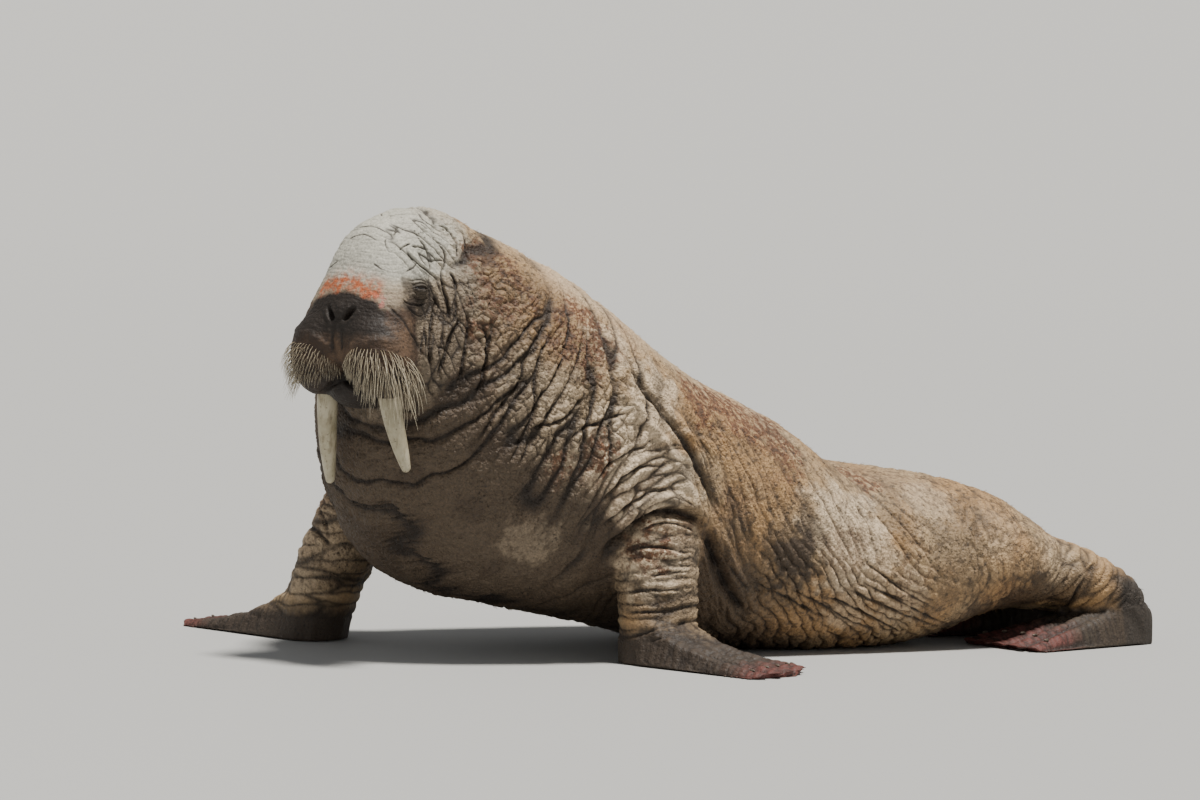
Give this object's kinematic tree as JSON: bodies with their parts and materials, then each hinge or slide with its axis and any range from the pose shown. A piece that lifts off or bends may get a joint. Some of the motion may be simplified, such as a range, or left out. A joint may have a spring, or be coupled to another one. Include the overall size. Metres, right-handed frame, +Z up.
{
  "type": "walrus",
  "caption": "Bull walrus resting on land, propped on its fore flippers with its head raised and turned, tusks down, hind flippers folded forwards under the rump; a still, life-size animal model",
  "frame": {"origin": "on the floor, under the middle of the bounding box", "axes": "+Z up; the body runs along Y with its head at -Y and its tail at +Y; its left side is at +X"},
  "size_m": [1.657, 2.765, 1.1562],
  "materials": {
    "crown_hide": "pale thick skin, dry, with thin cracks",
    "back_hide": "thick wrinkled skin, dry, grey brown to ochre",
    "flank_hide": "thick wrinkled skin, dry, golden brown",
    "limb_hide": "dark brown skin with creases and a reddish tint at the digits",
    "muzzle_hide": "dark brown skin, a little moist, set with stiff whiskers",
    "ivory": "worn ivory, satin, with brown and green stain",
    "eye": "wet and glossy, near black",
    "claw": "dull dark horn"
  },
  "bodies": {
    "root": {"head": "crown_hide", "snout": "muzzle_hide", "lower_jaw": "muzzle_hide", "neck": "back_hide", "chest": "back_hide", "belly": "flank_hide", "rump": "flank_hide", "tail": "flank_hide", "left_whisker_pad": "muzzle_hide", "left_tusk": "ivory", "left_eye": "eye", "left_forearm": "limb_hide", "left_fore_flipper": "limb_hide", "left_ankle": "flank_hide", "left_hind_flipper": "limb_hide", "left_fore_claw_1": "claw", "left_hind_claw_1": "claw", "left_fore_claw_2": "claw", "left_hind_claw_2": "claw", "left_fore_claw_3": "claw", "left_hind_claw_3": "claw", "left_fore_claw_4": "claw", "left_hind_claw_4": "claw", "left_fore_claw_5": "claw", "left_hind_claw_5": "claw", "right_whisker_pad": "muzzle_hide", "right_tusk": "ivory", "right_eye": "eye", "right_forearm": "limb_hide", "right_fore_flipper": "limb_hide", "right_ankle": "flank_hide", "right_hind_flipper": "limb_hide", "right_fore_claw_1": "claw", "right_hind_claw_1": "claw", "right_fore_claw_2": "claw", "right_hind_claw_2": "claw", "right_fore_claw_3": "claw", "right_hind_claw_3": "claw", "right_fore_claw_4": "claw", "right_hind_claw_4": "claw", "right_fore_claw_5": "claw", "right_hind_claw_5": "claw"}
  },
  "joints": []
}
